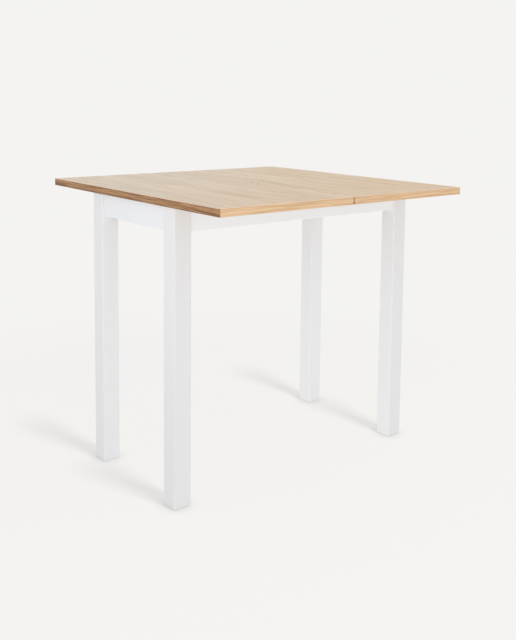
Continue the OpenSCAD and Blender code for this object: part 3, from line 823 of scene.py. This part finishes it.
class TABLE_OT_frame(bpy.types.Operator):
    """Lacquer the legs and the aprons"""
    bl_idname = "table.frame"
    bl_label = "Frame"

    def execute(self, context):
        look = context.scene.table_finish
        # The aprons' lacquer is a lighter copy of the legs' lacquer: painted light.
        for kind in ("leg", "apron"):
            parts = [name for name in frame["nodes"]
                     if name.startswith(kind + "_") and name != "apron_dowels"]
            coat(parts, lacquer_finish(kind + "_lacquer", *shades(look, kind + "_white")))
        return {"FINISHED"}


class TABLE_OT_fittings(bpy.types.Operator):
    """Finish the fittings by what each is made of"""
    bl_idname = "table.fittings"
    bl_label = "Fittings"

    def execute(self, context):
        look = context.scene.table_finish
        bare = shades(look, "wood_light", "wood_dark")
        finishes = {"raw_wood": raw_wood_finish(*bare),
                    "zinc_steel": zinc_finish(*shades(look, "zinc")),
                    "pale_brass": pale_brass_finish(*shades(look, "brass", "polished_brass")),
                    "nylon": nylon_finish(*shades(look, "nylon")),
                    "felt": felt_finish(*shades(look, "felt"))}
        slots = {part["node"]: part["material_slot"] for part in frame["record"]["subparts"]}
        for name, finish in finishes.items():
            coat([node for node, slot in slots.items() if slot == name], finish)
        coat(["pivot_cleat_front", "pivot_cleat_back"], raw_wood_finish(*bare, "bare_cleats", "X"))
        return {"FINISHED"}


# Screws, bolts and nuts

def cross_recess(head, width, across, deep, foot=0.35):
    """Sinks a cross into a head whose top is at Z = 0; its foot is a share of its size at the top."""
    for turn in (0.0, math.pi / 2):
        deselect()
        bpy.ops.mesh.primitive_cube_add(size=1.0, rotation=(0.0, 0.0, turn),
                                        scale=(across, width, 2 * deep))
        blade = settle("blade")
        pick(blade, "FACE", lambda middle, points: middle.z < -0.5 * deep)
        bpy.ops.transform.resize(value=(foot, foot, 1.0))
        bpy.ops.object.mode_set(mode="OBJECT")
        combine(head, blade, "DIFFERENCE")


def hex_nut(name, across, bore, height):
    """A nut with its top at Z = 0, its corners chamfered and its bore, given by its radius, eased."""
    corner = across / 2 / math.cos(math.radians(30))
    drum_radius = 1.02 * corner
    chamfer = drum_radius - 0.475 * across
    bore_ease = 0.4 * MM

    nut = rod(name, corner, -height, 0.0, 6)
    combine(nut, rod("hole", bore + 0.05 * MM, -height - MM, MM, 36), "DIFFERENCE")
    pick(nut, "EDGE", lambda middle, points: all(point.xy.length < bore + 0.1 * MM for point in points)
         and abs(points[0].z - points[1].z) < LEVEL)
    bpy.ops.mesh.bevel(offset=bore_ease, segments=1, profile=0.5, affect="EDGES")
    bpy.ops.object.mode_set(mode="OBJECT")
    drum = rod("drum", drum_radius, -height, 0.0, 60)
    for end in (0.0, -height):
        round_rim(drum, end, chamfer, 1)
    return combine(nut, drum, "INTERSECT")


class TABLE_OT_screws(bpy.types.Operator):
    """Model the wood screws with their cross recesses and threads"""
    bl_idname = "table.screws"
    bl_label = "Screws"

    def execute(self, context):
        pan_head = context.scene.table_fittings.screw_head_height
        flush = 0.0
        for node, slot, head in (("bracket_screws", "zinc_steel", pan_head),
                                 ("board_screws", "zinc_steel", flush),
                                 ("lower_plate_screws", "zinc_steel", flush),
                                 ("upper_plate_screws", "zinc_steel", flush),
                                 ("hinge_screws_main", "pale_brass", flush),
                                 ("hinge_screws_flap", "pale_brass", flush)):
            set_out(self.model(node, head), node, node + "_threaded")
        return {"FINISHED"}

    def model(self, node, pan_head):
        """One screw as long and thick as the CAD node's, with a pan head of a height or a flush head."""
        solid = solids(node)[0]
        place = seat(solid).inverted()
        points = [place @ point for point in solid]
        length = -min(point.z for point in points)
        shank = min(point.xy.length for point in points
                    if point.z < -0.8 * length and point.xy.length > 0.5 * MM)
        head_radius = max(point.xy.length for point in points)
        head_depth = pan_head or head_radius - shank
        recess_depth = 0.55 * head_depth + 0.12 * head_radius
        neck_radius = 0.82 * shank
        tooth = 0.22 * shank
        pitch = 0.9 * shank
        thread_bottom = -length + 1.4 * shank
        thread_top = -0.4 * length
        tip_top = -length + 1.45 * shank

        if pan_head:
            head = rod("head", head_radius, -head_depth, 0.0)
            round_rim(head, 0.0, 0.62 * head_depth, 4)
        else:
            head = rod("head", shank, -head_depth, 0.0, top_radius=head_radius)
        cross_recess(head, 0.32 * head_radius, 1.15 * head_radius, recess_depth)
        neck = rod("neck", neck_radius, -0.45 * length, -0.6 * head_depth, 20)
        worm = thread("worm", shank, tooth, pitch, thread_bottom, thread_top, 14)
        tip = rod("tip", 0.05 * shank, -length, tip_top, 14, top_radius=0.8 * shank)
        choose(neck, worm, tip, head)
        bpy.ops.object.join()
        return smooth(bpy.context.object)


class TABLE_OT_leg_bolts(bpy.types.Operator):
    """Model the hanger bolts and their nuts in the four corners"""
    bl_idname = "table.leg_bolts"
    bl_label = "Leg bolts"

    def execute(self, context):
        sizes = context.scene.table_fittings
        radius = sizes.leg_bolt / 2
        nut = hex_nut("nut", sizes.leg_nut, radius, self.measure("hanger_nuts", min))
        set_out(smooth(nut), "hanger_nuts", "hanger_nuts_chamfered", min)
        length = self.measure("hanger_bolts", max)
        bolt = thread("bolt", radius, depth=0.55 * MM, pitch=1.25 * MM, bottom=-length, top=-0.6 * MM)
        nose = rod("nose", radius - 0.5 * MM, -0.7 * MM, 0.0, 20, top_radius=radius - 1.1 * MM)
        choose(nose, bolt)
        bpy.ops.object.join()
        set_out(smooth(bpy.context.object), "hanger_bolts", "hanger_bolts_threaded")
        return {"FINISHED"}

    @staticmethod
    def measure(node, reach):
        """Length of a fastener along its own axis."""
        points = solids(node)[0]
        place = seat(points, reach).inverted()
        return -min((place @ point).z for point in points)


class TABLE_OT_pivot(bpy.types.Operator):
    """Model the pivot's threaded bolt and its lock nut with a nylon ring"""
    bl_idname = "table.pivot"
    bl_label = "Pivot"

    def execute(self, context):
        sizes = context.scene.table_fittings
        self.make_bolt(sizes)
        self.make_lock_nut(sizes)
        return {"FINISHED"}

    def make_bolt(self, sizes):
        """A bolt as long as the CAD's, with a flat head, a plain shank and a thread below."""
        points = solids("pivot_bolt")[0]
        place = seat(points).inverted()
        heights = [(place @ point).z for point in points]
        length = -min(heights)
        head = -max(height for height in heights if height < -0.5 * MM)
        radius = sizes.pivot_bolt / 2
        shank_end = -head - sizes.pivot_plain
        bolt = rod("bolt", sizes.pivot_head / 2, -head, 0.0, 48)
        round_rim(bolt, 0.0, 0.8 * MM, 3)
        shank = rod("shank", radius, shank_end, -0.5 * head, 40)
        worm = thread("worm", radius, depth=0.75 * MM, pitch=1.5 * MM, bottom=-length + 0.9 * MM,
                      top=shank_end + 0.5 * MM, steps=28)
        nose = rod("nose", radius - 1.3 * MM, -length, -length + 0.95 * MM, 28,
                   top_radius=radius - 0.7 * MM)
        choose(shank, worm, nose, bolt)
        bpy.ops.object.join()
        set_out(smooth(bpy.context.object), "pivot_bolt", "pivot_bolt_threaded")

    def make_lock_nut(self, sizes):
        """A nut with a domed collar below, which holds the nylon ring; its flats lie as the CAD's do."""
        low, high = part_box("pivot_lock_nut")
        top = Vector(((low.x + high.x) / 2, (low.y + high.y) / 2, high.z))
        place = Matrix.Translation(top) @ Matrix.Rotation(math.radians(90), 4, "Z")
        height = high.z - low.z
        collar = 0.3 * height
        bore = sizes.pivot_bolt / 2
        dome_radius = 0.47 * sizes.pivot_nut
        dome_bore = bore + 1.6 * MM
        ring_radius = bore + 1.55 * MM
        ring_bore = bore - 0.1 * MM

        nut = hex_nut("nut", sizes.pivot_nut, bore, height - collar)
        dome = rod("dome", dome_radius, -height, -height + collar + 0.2 * MM, 40)
        round_rim(dome, -height, 0.8 * MM, 3)
        combine(dome, rod("hole", dome_bore, -height - MM, MM), "DIFFERENCE")
        choose(dome, nut)
        bpy.ops.object.join()
        ring = rod("ring", ring_radius, -height + 0.4 * MM, -height + collar, 40)
        combine(ring, rod("hole", ring_bore, -height - MM, MM), "DIFFERENCE")
        for piece in (nut, ring):
            smooth(piece).data.transform(place)
        finish_piece(nut, "pivot_lock_nut_chamfered", "pivot_lock_nut")
        finish_piece(ring, "pivot_lock_nut_ring", "pivot_lock_nut", like="thrust_washer")


# Eased parts

class TABLE_OT_eased_parts(bpy.types.Operator):
    """Ease the arrises of the pressed steel, the nylon, the felt and the bare wood"""
    bl_idname = "table.eased_parts"
    bl_label = "Eased parts"

    def execute(self, context):
        sizes = context.scene.table_fittings
        washer_ease = 0.7 * sizes.steel_ease
        glide_ease = 0.5 * sizes.pad_ease
        corners = ("front_left", "front_right", "back_left", "back_right")
        brackets = ["corner_bracket_" + corner for corner in corners]
        for node in brackets + ["lower_swivel_plate", "upper_swivel_plate"]:
            ease(node, sizes.steel_ease, FINE_RIM)
        for node in ("hanger_washers", "pivot_washer", "pivot_spring_washer"):
            ease(node, washer_ease)
        for corner in corners:
            ease("foot_glide_" + corner, glide_ease, steps=3)
            ease("slide_pad_" + corner, sizes.pad_ease, steps=3)
        for node in ("pivot_board", "pivot_cleat_front", "pivot_cleat_back"):
            ease(node, sizes.wood_ease, FINE_RIM)
        return {"FINISHED"}


# Panel and registration

class TABLE_PT_panel(bpy.types.Panel):
    bl_label = "Table"
    bl_idname = "TABLE_PT_panel"
    bl_space_type = "VIEW_3D"
    bl_region_type = "UI"
    bl_category = "Table"

    def draw(self, context):
        for operator in OPERATORS:
            self.layout.operator(operator.bl_idname)
        for name, group in SETTINGS.items():
            box = self.layout.box()
            for key in group.__annotations__:
                box.prop(getattr(context.scene, name), key)


OPERATORS = (TABLE_OT_stage, TABLE_OT_leaves, TABLE_OT_frame, TABLE_OT_fittings, TABLE_OT_screws,
             TABLE_OT_leg_bolts, TABLE_OT_pivot, TABLE_OT_eased_parts)
SETTINGS = {"table_finish": TableFinishSettings, "table_fittings": TableFittingSettings,
            "table_studio": TableStudioSettings}


def register():
    for group in SETTINGS.values():
        bpy.utils.register_class(group)
    for operator in OPERATORS:
        bpy.utils.register_class(operator)
    bpy.utils.register_class(TABLE_PT_panel)
    for name, group in SETTINGS.items():
        setattr(bpy.types.Scene, name, bpy.props.PointerProperty(type=group))


def unregister():
    for name in SETTINGS:
        delattr(bpy.types.Scene, name)
    bpy.utils.unregister_class(TABLE_PT_panel)
    for operator in reversed(OPERATORS):
        bpy.utils.unregister_class(operator)
    for group in SETTINGS.values():
        bpy.utils.unregister_class(group)


def main():
    register()
    for operator in OPERATORS:
        group, name = operator.bl_idname.split(".")
        getattr(getattr(bpy.ops, group), name)()


if __name__ == "__main__":
    main()
